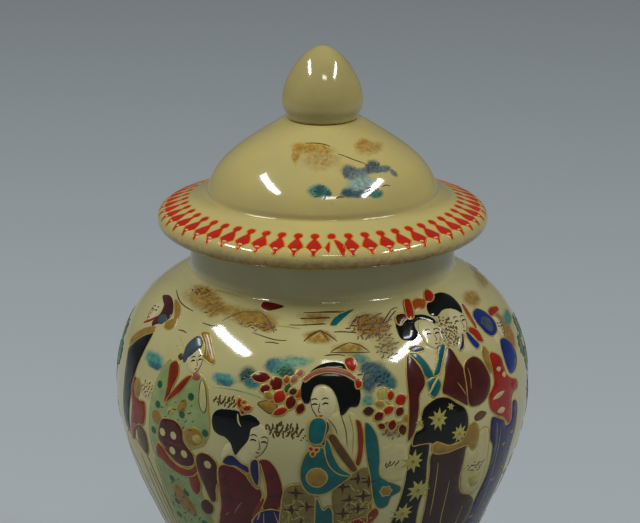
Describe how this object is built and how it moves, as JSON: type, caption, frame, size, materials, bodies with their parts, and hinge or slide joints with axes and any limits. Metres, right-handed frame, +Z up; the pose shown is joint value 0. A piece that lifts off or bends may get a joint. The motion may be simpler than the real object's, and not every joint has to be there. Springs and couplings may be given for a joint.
{
  "type": "lidded jar",
  "caption": "Porcelain baluster jar with a flared foot, short neck and a loose domed lid with a sloping brim, locating ring and bud finial.",
  "frame": {"origin": "centre of the foot ring's resting plane, on the axis of the jar", "axes": "+Z up along the axis of the jar towards the finial; the main figures of the painted scene face -Y"},
  "size_m": [0.1028, 0.1028, 0.1736],
  "materials": {
    "jar_glaze": "ivory crackle-free gloss glaze under overglaze enamels and gilding",
    "lid_glaze": "ivory gloss glaze with a printed iron-red border",
    "finial_glaze": "ivory gloss glaze"
  },
  "bodies": {
    "jar": {"jar_body": "jar_glaze"},
    "lid": {"lid_cover": "lid_glaze", "lid_finial": "finial_glaze"}
  },
  "joints": [
    {"name": "lid_lift", "type": "slide", "parent": "jar", "child": "lid", "axis": [0, 0, 1], "range_m": [0, 0.08]}
  ]
}
